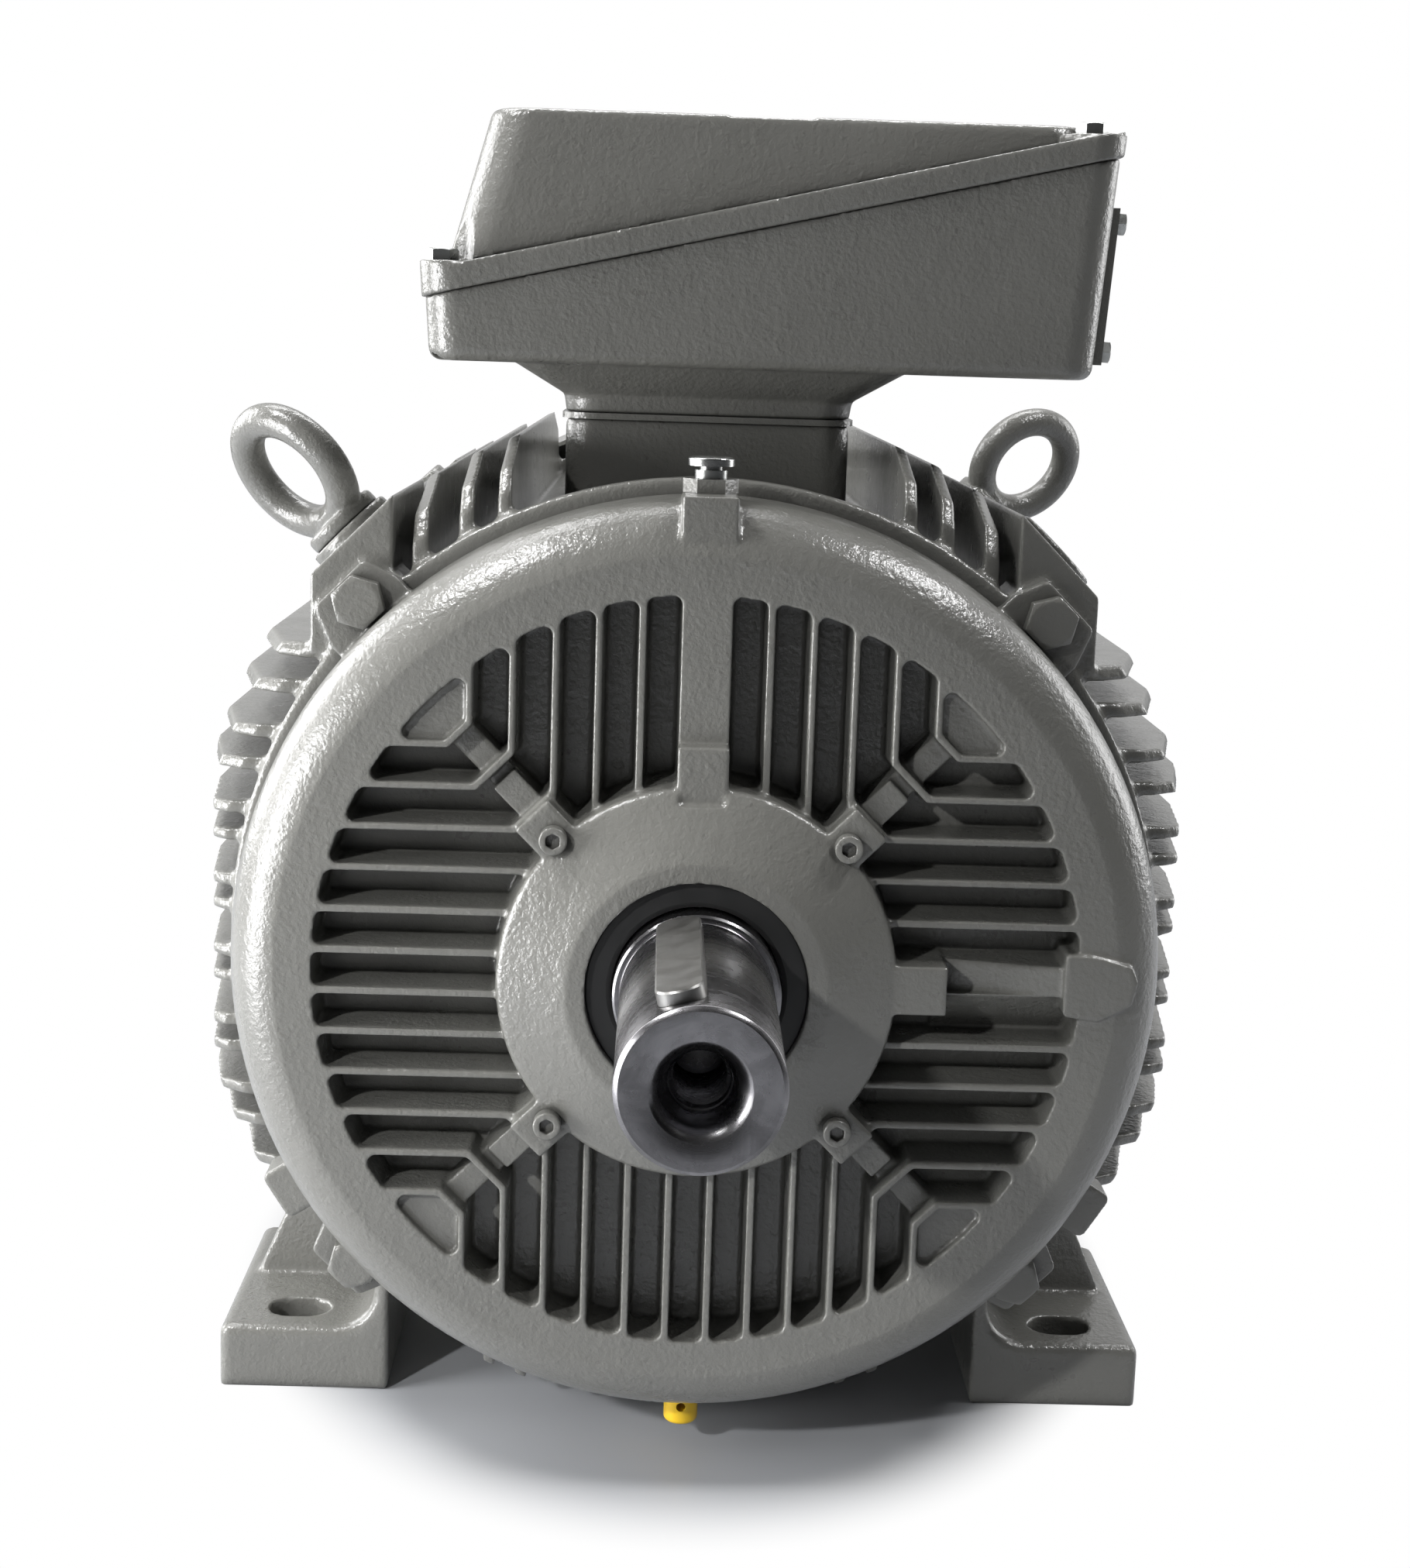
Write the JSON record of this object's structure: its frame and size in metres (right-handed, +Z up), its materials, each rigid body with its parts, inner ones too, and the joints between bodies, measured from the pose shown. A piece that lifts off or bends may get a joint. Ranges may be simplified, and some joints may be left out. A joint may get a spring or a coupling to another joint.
{
  "type": "electric motor",
  "caption": "Foot-mounted finned squirrel-cage induction motor with keyed shaft end, slant-lid terminal box on top, lifting eyes and cowled fan.",
  "frame": {"origin": "on the mounting plane, at the centre of the rectangle made by the four foot slots", "axes": "+Z up, Y along the shaft with the drive end towards -Y, +X to the right when looking at the drive end"},
  "size_m": [0.3917, 0.774, 0.515],
  "materials": {
    "paint": "semi-gloss grey machinery enamel over cast iron",
    "bare_steel": "machined and ground",
    "key_steel": "dull drawn steel",
    "zinc_steel": "zinc plated",
    "lamination": "stacked electrical sheet",
    "copper": "enamelled copper wire with varnish",
    "aluminium": "as cast",
    "cast_iron": "as cast",
    "brass": "plain",
    "rubber": "matte black",
    "yellow_plastic": "moulded",
    "black_plastic": "moulded"
  },
  "bodies": {
    "stator": {"bearing_cover_front": "cast_iron", "bearing_cover_rear": "cast_iron", "bearing_cover_screws_front": "paint", "bearing_cover_screws_rear": "zinc_steel", "bearing_outer_ring_front": "bare_steel", "bearing_outer_ring_rear": "bare_steel", "bearing_preload_spring": "key_steel", "box_mounting_screws": "zinc_steel", "cable_entry_plugs": "black_plastic", "cover_bolts": "zinc_steel", "cover_gasket": "rubber", "drain_plug_front": "yellow_plastic", "drain_plug_rear": "yellow_plastic", "drive_end_shield": "paint", "eyebolt_left": "paint", "eyebolt_right": "paint", "fan_cover": "paint", "fan_cover_screws": "zinc_steel", "gland_gasket": "rubber", "gland_plate": "paint", "gland_plate_bolts": "zinc_steel", "grease_adapter": "paint", "grease_nipple": "zinc_steel", "neck_gasket": "paint", "rear_end_shield": "paint", "shaft_seal_front": "rubber", "shaft_seal_rear": "rubber", "shield_bolts_front": "paint", "shield_bolts_rear": "paint", "stator_core": "lamination", "stator_frame": "paint", "stator_winding": "copper", "terminal_board": "black_plastic", "terminal_board_screws": "zinc_steel", "terminal_box_base": "paint", "terminal_box_cover": "paint", "terminal_links": "brass", "terminal_nuts": "brass", "terminal_studs": "brass"},
    "rotor": {"shaft": "bare_steel", "shaft_key": "key_steel", "rotor_core": "lamination", "rotor_cage": "aluminium", "cooling_fan": "black_plastic", "fan_key": "key_steel", "fan_circlip": "key_steel", "bearing_inner_ring_front": "bare_steel", "bearing_inner_ring_rear": "bare_steel"},
    "balls_front": {"bearing_balls_front": "bare_steel", "bearing_cage_front": "brass"},
    "balls_rear": {"bearing_balls_rear": "bare_steel", "bearing_cage_rear": "brass"}
  },
  "joints": [
    {"name": "rotor_spin", "type": "hinge", "parent": "stator", "child": "rotor", "pos_m": [0, 0, 0.2], "axis": [0, 1, 0], "continuous": true},
    {"name": "balls_front_spin", "type": "hinge", "parent": "stator", "child": "balls_front", "pos_m": [0, 0, 0.2], "axis": [0, 1, 0], "continuous": true},
    {"name": "balls_rear_spin", "type": "hinge", "parent": "stator", "child": "balls_rear", "pos_m": [0, 0, 0.2], "axis": [0, 1, 0], "continuous": true}
  ],
  "couplings": [
    {"joint": "balls_front_spin", "follows": "rotor_spin", "ratio": 0.3832},
    {"joint": "balls_rear_spin", "follows": "rotor_spin", "ratio": 0.3832}
  ]
}
